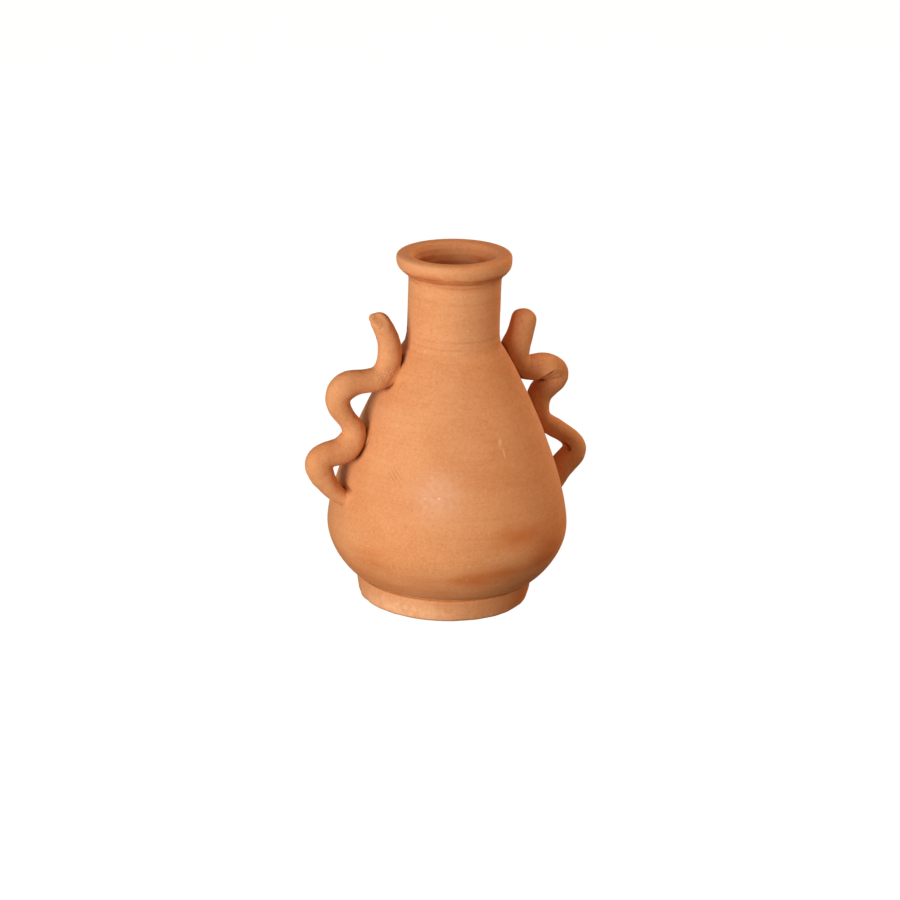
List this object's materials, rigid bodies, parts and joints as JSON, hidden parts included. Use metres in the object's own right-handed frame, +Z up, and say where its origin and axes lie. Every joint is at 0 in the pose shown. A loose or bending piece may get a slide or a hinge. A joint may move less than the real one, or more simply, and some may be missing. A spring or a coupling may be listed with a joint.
{
  "type": "terracotta vase",
  "caption": "Terracotta vase with a pear-shaped belly, a straight neck with a rolled lip, a foot ring and wavy coil handles pressed onto the shoulder and belly.",
  "frame": {"origin": "centre of the foot's underside, on the table", "axes": "+Z up along the vase's axis, +X through the right handle, -X through the left handle, +Y to the back"},
  "size_m": [0.1738, 0.136, 0.2],
  "materials": {
    "terracotta": "matte, unglazed, wiped with a wet sponge",
    "coil_clay": "matte, unglazed, hand rolled",
    "slip": "matte dried slip"
  },
  "bodies": {
    "root": {"belly": "terracotta", "neck_with_lip": "terracotta", "foot_ring": "terracotta", "left_handle": "coil_clay", "right_handle": "coil_clay", "foot_joint_slip": "slip", "neck_joint_slip": "slip", "left_handle_upper_slip": "slip", "left_handle_middle_slip": "slip", "left_handle_lower_slip": "slip", "right_handle_upper_slip": "slip", "right_handle_middle_slip": "slip", "right_handle_lower_slip": "slip"}
  },
  "joints": []
}
